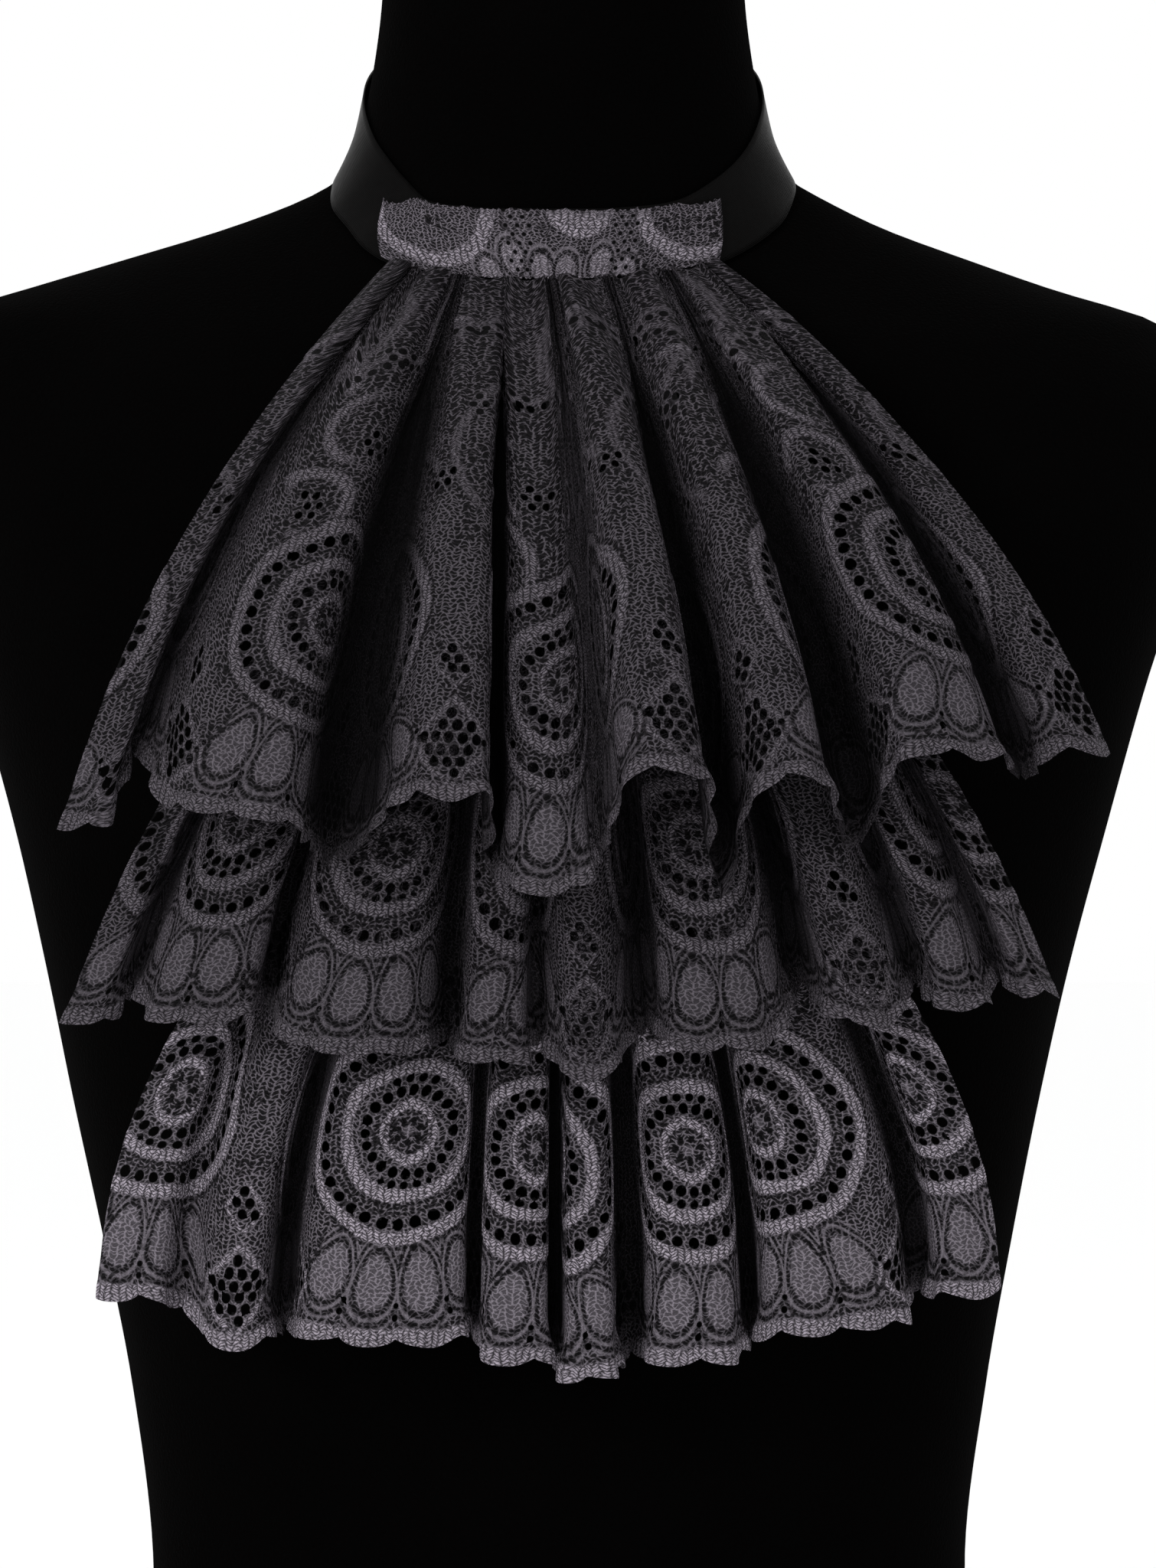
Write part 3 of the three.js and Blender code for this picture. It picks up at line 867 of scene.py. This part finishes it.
def net(u, v, pitch, wide, uneven):
    """How far each point of an irregular net is from its nearest thread, in cells."""
    place = Socket.node("ShaderNodeCombineXYZ", {"X": u * (1 / (pitch * wide)), "Y": v * (1 / pitch)})
    inputs = {"Vector": place, "Scale": 1.0, "Randomness": uneven}
    return Socket.node("ShaderNodeTexVoronoi", inputs, {"voronoi_dimensions": "2D", "feature": "DISTANCE_TO_EDGE"})


def lace_material(name, ground, braid, marks_at, holes_at, gauge=1.35):
    """The lace's finish: the strength of its ground and braid, its pattern's sums, and its net's gauge in mm."""
    material, shader = cloth_material(name)
    u, v, uv = flat_place()
    marks = marks_at(u, v)
    outside = holes_at(u, v)
    # "deep" is the painted shade between folds, read from the mesh attribute of that name.
    deep = Socket.node("ShaderNodeAttribute", {}, {"attribute_name": "deep"}, output=2)
    uneven = noise(uv, 0.8, 3.0)
    broad = noise(uv, 0.09, 2.0)
    wavy = v + 0.55 * sine(u * (2 * math.pi / 5.3) + uneven * 3)
    fine = 1 - ramp(0.03, 0.24, net(u, wavy, gauge, 1.8, 0.9))
    slits = net(u, wavy, 2.9, 1.3, 0.8)
    patchy = ramp(0.42, 0.56, broad + (ramp(90, 125, v) - 0.5) * 0.16)
    solid = most(marks["braid"], marks["fill"])
    opening = ramp(0.14, 0.24, slits) * patchy * (1 - solid)
    knit = fine * (0.3 + 1.4 * uneven)
    leaning = v + abs(centred(u + uneven * 2.0, 4.2)) * 0.6
    stitch = ramp(0.02, 0.3, net(u, leaning, 1.0, 2.3, 0.7))
    worn = ramp(0.3, 0.7, uneven * 0.6 + broad * 0.4)
    cloth = worked(knit, "ground", ground)
    cloth = blend_colour(marks["fill"] * 0.8, cloth, worked(knit, "fill", ground))
    cloth = blend_colour(marks["threads"] * (0.5 + 0.5 * worn), cloth, tinted(LONE_THREAD * ground))
    cloth = blend_colour(opening * 0.9, cloth, tinted(OPEN))
    stitched = worked(stitch * (0.3 + 1.0 * uneven), "braid", braid)
    # Painted shade: the braid's shine fades out where the cloth lies deep between folds.
    cloth = blend_colour(marks["braid"] * (0.7 + 0.3 * worn) * (1 - deep), cloth, stitched)
    cloth = blend_colour((1 - ramp(0.2, 1.1, outside)) * 0.3, cloth, tinted(HOLE_RIM * ground))
    holes_and_dots = most(1 - ramp(-0.05, 0.3, outside), marks["dots"] * 0.8)
    cloth = blend_colour(holes_and_dots, cloth, tinted(CUT))
    # Painted shade: the lace is painted almost black down between folds.
    cloth = blend_colour(deep * 0.9, cloth, tinted(PAINTED_SHADE_TONE))
    link(cloth, shader, "Base Color")
    link(bump(fine * 0.5 + stitch * 0.4 + uneven * 0.4, 0.0005), shader, "Normal")
    set_inputs(shader, {"Roughness": 0.6, "Specular IOR Level": 0.04})
    return material


lace = lace_material("lace", 0.45, 0.33, lace_marks, lace_holes)
# A copy of the same lace with its ground and braid painted about twice as light, for the bottom ruffle: painted light.
lace_painted_lighter = lace_material("lace_painted_lighter", 0.8, 0.92, lace_marks, lace_holes)
print("lace nodes:", len(lace.node_tree.nodes))

# %% [markdown]
# ## The ruffles
#
# Each ruffle is a straight length of lace, gathered along its top and let fall. Its folds are placed one by one in a
# table, from left to right, as a maker arranges them. A spline runs through the folds at the seam and at the hem, and
# the cloth fans out between the two. The stretch that faces forward keeps the lace's true scale, and what is left of
# its length goes into the valleys.
#
# "lace" is the place in the repeat that stands on each fold. "shade" is the depth below the folds at which the shadow
# starts on a falling side, where it is full, and where it starts on a rising side.

# %% Fold tables
LACE_THICK = 1.2
FULLEST = 390
GATHER_DEPTH = 2.2
SIDE_SETTLE = 0.4  # of its stand-off that a ruffle loses towards its sides
SIDE_REACH = 180
FOLD_COLUMNS = "top hem half low out dip floor dipLow in"
RUFFLES = {
    "ruffle_top": {
        "slack": 0.7, "stand": 64, "swell": 0.8, "deepen": 0.75, "early": 1.5,
        "shade": (10, 27, 3),
        "lace": (36, -19, 48, -9, 44, 60, -18, 43),
        "folds": [
            (-56, -155, 8, 362, 9, -139, 3, 390, 13),
            (-43, -107, 22, 367, 14, -74, 9, 351, 26),
            (-25, -36, 17, 373, 13, -25, 5, 350, 24),
            (-13, -6, 12, 343, 13, 13, 3, 354, 2),
            (4, 35, 14, 381, 15, 50, 6, 339, 24),
            (24, 74, 13, 378, 12, 95, 8, 355, 25),
            (43, 125, 20, 386, 12, 148, 5, 379, 17),
            (50, 169, 9, 387, 8, 0, 0, 0, 0),
        ],
    },
    "ruffle_middle": {
        "seam": 482, "slack": 0, "stand": 41, "swell": 1.5, "deepen": 1.3, "early": 1.5,
        "shade": (12, 31, 10),
        "lace": (-25, 6, -6, -20, 48, 0, 46, 70, 0),
        "folds": [
            (-46, -156, 7, 298, 8, -141, 3, 311, 14),
            (-37, -118, 19, 300, 12, -97, 4, 309, 18),
            (-27, -69, 24, 291, 13, -37, 4, 293, 18),
            (-14, -22, 11, 287, 12, -9, 3, 296, 12),
            (-1, 8, 9, 283, 14, 27, 5, 298, 16),
            (13, 52, 20, 292, 12, 78, 5, 312, 20),
            (25, 99, 12, 299, 12, 115, 4, 313, 15),
            (34, 130, 8, 303, 10, 142, 3, 315, 12),
            (42, 155, 6, 308, 7, 0, 0, 0, 0),
        ],
    },
    "ruffle_bottom": {
        "seam": 381, "slack": 0, "stand": 25, "swell": 1.4, "deepen": 1.1, "early": 2,
        "shade": (12, 21, 14),
        "lace": (-3, 48, -4, -6, 20, -1, 19, 8),
        "folds": [
            (-54, -141, 11, 209, 8, -124, 3, 205, 8),
            (-45, -107, 10, 194, 8, -91, 5, 199, 15),
            (-27, -58, 29, 196, 12, -29, 5, 199, 12),
            (-8, -16, 13, 190, 10, -3, 4, 190, 14),
            (4, 9, 9, 184, 12, 22, 6, 190, 16),
            (16, 43, 16, 190, 11, 61, 4, 194, 15),
            (30, 89, 25, 199, 11, 116, 6, 210, 16),
            (48, 132, 11, 210, 8, 0, 0, 0, 0),
        ],
    },
}


def mix(first, second, share):
    return first + (second - first) * share


def controls(rows):
    """The spline's control points: three on each fold, and two in the valley on its right."""
    folds = [dict(zip(FOLD_COLUMNS.split(), row)) for row in rows]
    points = []
    for i, fold in enumerate(folds):
        last = i + 1 == len(folds)
        room = fold["top"] - folds[i - 1]["top"] if last else folds[i + 1]["top"] - fold["top"]
        for side in (-1, 0, 1):
            forward = fold["out"] * (0.95 if side else 1.05)
            hem = fold["hem"] + side * fold["half"]
            points.append((fold["top"] + side * room * 0.2, GATHER_DEPTH, hem, forward, fold["low"]))
        if last:
            break
        middle = (fold["top"] + folds[i + 1]["top"]) / 2
        for side in (-1, 1):
            hem = fold["dip"] + side * fold["floor"]
            points.append((middle + side * room * 0.05, -GATHER_DEPTH, hem, -fold["in"], fold["dipLow"]))
    return table("top topOut hem out low", points)


def spline(values, at):
    """A uniform cubic B-spline over a column, its ends held; at runs from 0 to 1."""
    last = len(values) - 1
    place = at * (last + 2) - 1
    i = np.minimum(np.floor(place), last).astype(int)
    t = place - i
    near = [values[np.clip(i + k, 0, last)] for k in (-1, 0, 1, 2)]
    weights = ((1 - t) ** 3, 3 * t**3 - 6 * t**2 + 4, -3 * t**3 + 3 * t**2 + 3 * t + 1, t**3)
    return sum(value * weight for value, weight in zip(near, weights)) / 6


CHEST_STEP = 2.0
chest_x = np.arange(-200, 200.1, CHEST_STEP)
chest_z = np.arange(FULLEST, 580.1, CHEST_STEP)
chest_grid = form_point(turn_at(*np.meshgrid(chest_x, chest_z)), np.meshgrid(chest_x, chest_z)[1])[..., 1]


def chest_front(x, z):
    """The y of the chest, below its fullest level as if hung from it."""
    level = np.maximum(z, FULLEST)
    narrow = mix(0.8, 1.0, ramp(440, 546, z))
    across = np.clip((x * narrow - chest_x[0]) / CHEST_STEP, 0, len(chest_x) - 1.001)
    up = np.clip((level - FULLEST) / CHEST_STEP, 0, len(chest_z) - 1.001)
    i, j = across.astype(int), up.astype(int)
    a, b = across - i, up - j
    low = mix(chest_grid[j, i], chest_grid[j, i + 1], a)
    high = mix(chest_grid[j + 1, i], chest_grid[j + 1, i + 1], a)
    return mix(low, high, b)


def seam_stand(z):
    """How far in front of the chest a gathered edge lies, just clear of the backing."""
    backing_front = (BACKING_CLEAR + BACKING_THICK / 2) / -form_normal(0.0, z)[1]
    return backing_front + SEAM_GAP + LACE_THICK / 2 + GATHER_DEPTH


def ruffle_point(settings, points, at, v):
    """The ruffle's middle surface: at runs along its control points, v from the seam to the hem."""
    v = np.clip(v, 0, None)
    fan = settings["early"] * v - (settings["early"] - 1) * v * v
    top = spline(points["top"], at)
    x = mix(top, spline(points["hem"], at), fan)
    seam = settings.get("seam") or band_foot(top) - 3 * SEAM_GAP
    z = mix(seam, spline(points["low"], at), v)
    wave = mix(spline(points["topOut"], at), spline(points["out"], at), v ** settings["deepen"])
    hung = settings["stand"] * (1 - SIDE_SETTLE * (x / SIDE_REACH) ** 2)
    start = seam_stand(settings.get("seam") or BACKING_TOP) + settings["slack"]
    stand = mix(start, hung, v ** settings["swell"])
    return np.stack([x, chest_front(x, z) - stand - wave, z], -1)


print("chest grid:", chest_grid.shape)

# %% Laying the lace on the folds
CELL = 1.25  # of the lace's mesh, on the folds
VALLEY_CELLS = 0.6  # how much coarser the mesh is down in the valleys
HEM_CURL = 1.6  # half of what each lobe rolls forward at the edge
CLOTH_SHARE = 0.6  # of the flat rectangle: the rest is in the finest gathers and the holes
VALLEY_SHARE = 0.25  # of the way between two folds takes up the spare cloth


def lengths_along(points, axis):
    steps = np.linalg.norm(np.diff(points, axis=axis), axis=-1)
    start = np.zeros_like(np.take(steps, [0], axis))
    return np.concatenate([start, np.cumsum(steps, axis)], axis)


def hem_columns(settings, points):
    """Steps along the hem, even on the folds and coarser in the valleys, their lengths, and the lobe count."""
    at = np.linspace(0, 1, 3001)
    length = lengths_along(ruffle_point(settings, points, at, np.ones_like(at)), 0)
    lobes = round(length[-1] / LOBE)
    depth = (spline(points["out"], at[1:]) + spline(points["out"], at[:-1])) / 2
    density = np.diff(length) * mix(VALLEY_CELLS, 1.0, ramp(-12.0, -2.0, depth))
    count = np.concatenate([[0], np.cumsum(density)]) / CELL
    columns = int(round(count[-1]))
    found = np.interp(np.linspace(0, count[-1], columns + 1), count, at)
    return found, np.interp(found, at, length), lobes


def level_rows(settings, points, at, hem_pattern):
    """The surface's v for each column and row, so that rows are even steps of cloth up from the cut edge."""
    v = np.linspace(-0.004, 1 + LOBE_DEPTH / LACE_WIDTH, 80)
    surface = ruffle_point(settings, points, at[:, None], v[None, :])
    up = lengths_along(surface[:, ::-1], 1)
    rows = int(round(up.mean(0)[-1] / CELL))
    height = up[:, -1]
    edge = edge_line(hem_pattern)
    wanted = mix(edge[:, None], height[:, None], np.linspace(0, 1, rows + 1)[None, :])
    found = np.stack([np.interp(w, u, v[::-1]) for w, u in zip(wanted, up)])
    return found, wanted


def crest_places(wanted, lengths):
    """The place along the lace at each crest, as wanted in its repeat, with enough cloth down in each valley."""
    places = [wanted[0]]
    for here, room in zip(wanted[1:], np.diff(lengths)):
        least_place = places[-1] + 0.85 * room
        places.append(here + REPEAT * math.ceil((least_place - here) / REPEAT))
    return np.array(places, float)


def spread_pattern(along, places, crests, valleys):
    """Each point's place along the flat lace: true to scale on the folds, the rest taken up in the valleys."""
    pattern = np.empty_like(along)
    pattern[: crests[0] + 1] = places[0] - (along[crests[0]] - along[: crests[0] + 1])
    pattern[crests[-1] :] = places[-1] + (along[crests[-1] :] - along[crests[-1]])
    for k, (first, valley, last) in enumerate(zip(crests, valleys, crests[1:])):
        span = slice(first, last + 1)
        room = along[last] - along[first]
        share = (along[span] - along[first]) / room
        middle = (along[valley] - along[first]) / room
        spare = places[k + 1] - places[k] - room
        reach = VALLEY_SHARE * np.minimum(middle, 1 - middle) * 2
        pattern[span] = places[k] + share * room + spare * ramp(middle - reach, middle + reach, share)
    return pattern


def depth_shade(settings, out, crests, rows_v):
    """How dark each point is for lying down between two folds, from 0 on a crest to 1 in a deep valley."""
    crest_line = np.interp(np.arange(len(out)), crests, out[crests])
    depth = (crest_line - out)[:, None] * ramp(-0.1, 0.3, rows_v) * (0.75 + 0.25 * rows_v)
    from_left, full, from_right = settings["shade"]
    start = np.where(np.gradient(out) > 0, from_right, from_left)[:, None]
    return ramp(start, full, depth) * (1 - 0.45 * ramp(0.93, 1.0, rows_v))


def ruffle_mesh(name, settings):
    points = controls(settings["folds"])
    at, hem_length, lobes = hem_columns(settings, points)
    columns = len(at) - 1
    fold = 5 * np.arange(len(settings["folds"]))
    crests = np.searchsorted(at, (fold + 2) / (len(points["top"]) + 1))
    valleys = np.searchsorted(at, (fold[:-1] + 4.5) / (len(points["top"]) + 1))
    places = crest_places(settings["lace"], hem_length[crests])
    v, up = level_rows(settings, points, at, spread_pattern(hem_length, places, crests, valleys))
    surface = ruffle_point(settings, points, np.repeat(at[:, None], v.shape[1], 1), v)
    pattern = spread_pattern(lengths_along(surface, 0), places, crests, valleys)
    gather = 1.4 * (1 + np.sin(pattern * (2 * np.pi / 17))) * ramp(0.0, 0.35, 0.4 - v)
    curl = HEM_CURL * (1 + np.sin(pattern * (2 * np.pi / LOBE) + 1.2 * np.sin(pattern * 0.06))) * (1 - ramp(0, 17, up))
    across, upward = np.gradient(surface, axis=0), np.gradient(surface, axis=1)
    normal = np.cross(across, upward)
    normal /= np.linalg.norm(normal, axis=-1, keepdims=True)
    surface = surface + normal * (gather + curl)[..., None]
    # Painted shade between folds, from how far each point lies below its folds.
    shade = depth_shade(settings, spline(points["out"], at), crests, v)
    surface, pattern, up, cut = cut_holes(surface, pattern, up, shade)
    marks = lace_marks(pattern, up)
    relief = 0.45 * marks["braid"] + 0.2 * marks["fill"]
    surface = surface + normal * relief[..., None]
    mesh, i, j = grid_mesh(name, columns, v.shape[1] - 1)
    place_points(mesh, surface[i, j])
    lay_uv(mesh, np.stack([pattern, up], -1)[i, j])
    # The painted shade goes into the mesh as the "deep" attribute.
    mesh.attributes.new("deep", "FLOAT", "POINT").data.foreach_set("value", shade[i, j].astype(np.float32))
    remove_faces(mesh, cut, i, j)
    length, width = lobes * LOBE, float(up.max())
    share = sum(face.area for face in mesh.polygons) / (length * width * MM * MM)
    print(f"{name}: {length:.0f} x {width:.0f} mm flat, {len(mesh.polygons)} faces, share {share:.2f}")
    return mesh, length, width


def cut_holes(surface, pattern, up, shade):
    """Moves points that are near a hole's outline onto it, and says which cells lie inside."""
    inside = lace_holes(pattern, up)
    slide = 0.05
    slope_u = (lace_holes(pattern + slide, up) - lace_holes(pattern - slide, up)) / (2 * slide)
    slope_v = (lace_holes(pattern, up + slide) - lace_holes(pattern, up - slide)) / (2 * slide)
    steep = slope_u**2 + slope_v**2 + 1e-6
    to_u, to_v = -inside * slope_u / steep, -inside * slope_v / steep
    pattern_i, pattern_j = np.gradient(pattern, axis=0), np.gradient(pattern, axis=1)
    up_i, up_j = np.gradient(up, axis=0), np.gradient(up, axis=1)
    area = pattern_i * up_j - pattern_j * up_i
    step_i = (to_u * up_j - to_v * pattern_j) / area
    step_j = (to_v * pattern_i - to_u * up_i) / area
    open_cloth = (pattern_i > 0.5 * CELL) & (pattern_i < 2.2 * CELL) & (shade < 0.4)
    near = (np.abs(step_i) < 0.5) & (np.abs(step_j) < 0.5) & (np.abs(inside) < 1.0) & open_cloth
    step_i, step_j = np.where(near, step_i, 0), np.where(near, step_j, 0)
    step_i[[0, -1]] = step_j[[0, -1]] = 0
    step_i[:, [0, -1]] = step_j[:, [0, -1]] = 0
    surface_i, surface_j = np.gradient(surface, axis=0), np.gradient(surface, axis=1)
    moved = surface + surface_i * step_i[..., None] + surface_j * step_j[..., None]
    pattern = pattern + pattern_i * step_i + pattern_j * step_j
    up = up + up_i * step_i + up_j * step_j
    middle_u = (pattern[:-1, :-1] + pattern[1:, :-1] + pattern[:-1, 1:] + pattern[1:, 1:]) / 4
    middle_v = (up[:-1, :-1] + up[1:, :-1] + up[:-1, 1:] + up[1:, 1:]) / 4
    cut = (lace_holes(middle_u, middle_v) < -0.1) & open_cloth[:-1, :-1] & open_cloth[1:, 1:]
    cut[[0, -1]] = cut[:, [0, -1]] = False
    return moved, pattern, up, cut


def remove_faces(mesh, cut, i, j):
    """Deletes the cells that lie inside holes."""
    corners = corners_of(mesh).reshape(-1, 4)
    lowest_i, lowest_j = i[corners].min(1), j[corners].min(1)
    gone = np.flatnonzero(cut[lowest_i, lowest_j])
    edited(mesh, lambda bm: bmesh.ops.delete(bm, geom=[bm.faces[k] for k in gone], context="FACES"))


for name, settings in RUFFLES.items():
    made, length, width = ruffle_mesh(name, settings)
    # The bottom ruffle takes the copy of the lace that is painted lighter: painted light.
    finish = lace_painted_lighter if name == "ruffle_bottom" else lace
    piece = shown("lace_" + name, made, finish, name)
    flat = (length * MM, width * MM)
    flat[0] * flat[1] * CLOTH_SHARE

# %% [markdown]
# ## The lace band
#
# A strip of narrower lace, 25 mm wide, covers the gathered top of the first ruffle. Braided arcs hang from its upper
# edge, a small one between two large ones, and egg shapes stand below them. Its upper edge is cut, and a little frayed.

# %% Band
BAND_LENGTH = 118.0
BAND_ARCS = [  # centre across and up, radius, width
    (20, 26.5, 22.2, 4.8),
    (70, 25.5, 7.2, 8.4),
    (114, 27.5, 22.8, 4.8),
]
BAND_EGGS = [(38, 1.5), (47.5, 7.5), (57.5, 3), (67, 2), (79.5, 5), (88, 1.5)]  # centre across and up


def band_marks(u, v):
    u, v = drifted(u, v)
    braid = 1 - ramp(0.3, 1.0, v)
    for side, rise, reach, width in BAND_ARCS:
        dx, dy = u - side, v - rise
        braid = most(braid, stripe(reach_of(dx, dy) - reach, width))
    braid = braid * (1 - 0.55 * ramp(19, 25, v))
    egg = 20.0
    for side, rise in BAND_EGGS:
        egg = least(egg, oval(u - side, v - rise, 3.6, 5.6))
    fill = 1 - ramp(-0.4, 0.4, egg)
    braid = most(braid, fill * 0.6)
    beads = 0.5 + 0.5 * sine(v * (2 * math.pi / 1.3)) * sine(u * (2 * math.pi / 1.7))
    dots = stripe(egg - 1.0, 0.9, 0.3) * beads
    return {"braid": braid, "fill": fill, "dots": dots, "threads": stripe(egg - 1.9, 0.7, 0.3)}


def band_holes(u, v):
    """The band has no cut holes, only small dark gaps in staggered rows beside its eggs."""
    return honeycomb(u, v, 3.6, 0.6, lambda a, b: least(abs(a - 50), abs(a - 87)) - 4.5)


def band_mesh():
    columns, rows = 140, 26
    mesh, i, j = grid_mesh("band", columns, rows)
    frayed = 0.04 * np.abs(np.sin(i * 0.9 + 2 * np.sin(i * 0.37))) * ramp(0.85, 1.0, j / rows)
    cut_down = np.where(2 * i < columns, 0.36, 0.2) * ramp(0.72, 1.0, np.abs(2 * i / columns - 1))
    v = 1 - (j / rows) * (1 - cut_down) + frayed
    flare = BAND_FLARE * np.where(2 * i < columns, 1.5, 0.85)
    degrees = BAND_HALF_TURN * (2 * i / columns - 1) * (1 + flare * (1 - v))
    place_points(mesh, collar(degrees, v, np.full(len(i), BAND_CLEAR)))
    lay_uv(mesh, np.stack([BAND_LENGTH * i / columns, RIBBON_WIDTH * j / rows], -1))
    return mesh


band_lace = lace_material("band_lace", 0.85, 0.85, band_marks, band_holes, 1.0)
band = shown("lace_band_strip", band_mesh(), band_lace, "lace_band")
thicken(band, BAND_THICK * 0.8)
print("band faces:", len(band.data.polygons))
